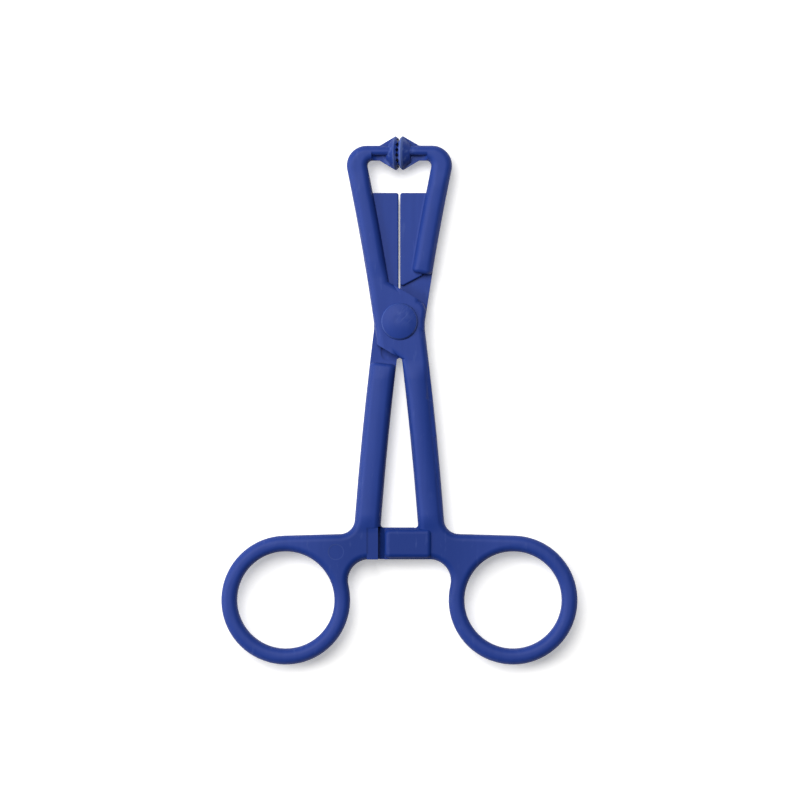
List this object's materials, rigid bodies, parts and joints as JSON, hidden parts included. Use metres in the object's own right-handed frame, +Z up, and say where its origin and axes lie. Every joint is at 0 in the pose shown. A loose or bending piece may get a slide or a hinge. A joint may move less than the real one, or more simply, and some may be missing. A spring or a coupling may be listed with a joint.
{
  "type": "locking forceps",
  "caption": "Moulded plastic locking forceps with finger rings, toothed gripping discs, a lap joint on a rivet and a ratchet between the shanks.",
  "frame": {"origin": "centre of the outline, on the surface that the closed forceps lies on", "axes": "+Y from the finger rings to the jaws, +X to the right seen from above, +Z up"},
  "size_m": [0.089, 0.132, 0.0087],
  "materials": {
    "blue_plastic": "satin royal blue moulding",
    "rivet_plastic": "satin royal blue moulding, lightly scuffed"
  },
  "bodies": {
    "lower": {"lower_half": "blue_plastic", "pivot_rivet": "rivet_plastic"},
    "upper": {"upper_half": "blue_plastic"}
  },
  "joints": [
    {"name": "pivot", "type": "hinge", "parent": "lower", "child": "upper", "pos_m": [0, 0.01967, 0.00434], "axis": [0, 0, 1], "range_deg": [0, 100]}
  ]
}
